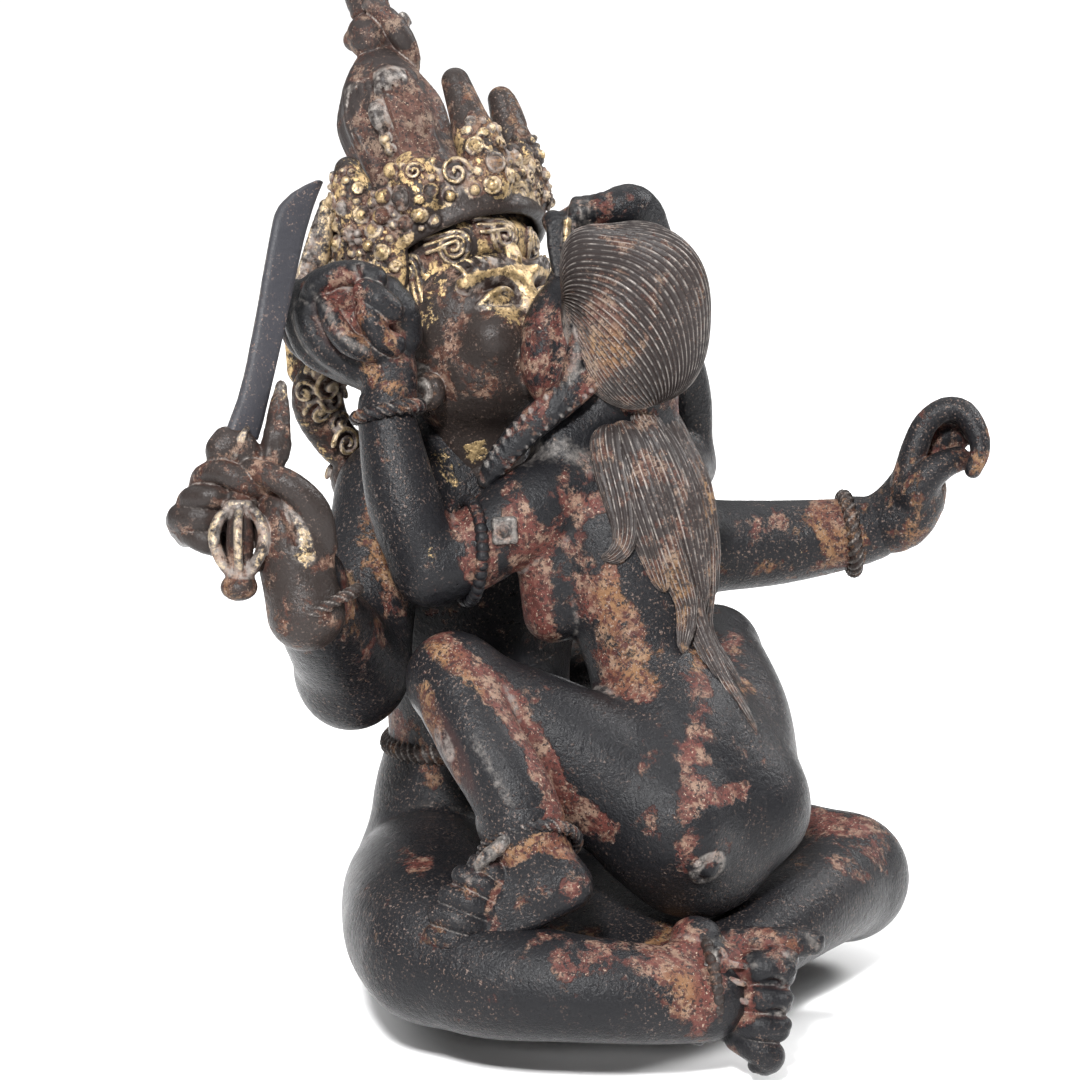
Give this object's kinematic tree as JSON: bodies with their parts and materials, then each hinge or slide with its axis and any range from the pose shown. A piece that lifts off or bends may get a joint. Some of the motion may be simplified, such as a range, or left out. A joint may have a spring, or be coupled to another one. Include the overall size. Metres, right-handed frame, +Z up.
{
  "type": "seated deity with consort statue",
  "caption": "Hollow-cast bronze group of a crowned seated deity with raised sword and a consort seated in his lap.",
  "frame": {"origin": "centre of the underside of the group's box, on the plane it stands on", "axes": "+Z up, the deity faces -Y and his left hand reaches to +X; the consort shows her back to -Y"},
  "size_m": [0.1924, 0.1394, 0.2007],
  "materials": {
    "father_bronze": "black lacquer patina over cast bronze, worn gilding on face, crown and chest",
    "consort_bronze": "black lacquer patina over cast bronze with red-brown patches"
  },
  "bodies": {
    "root": {"father_figure": "father_bronze", "consort_figure": "consort_bronze"}
  },
  "joints": []
}
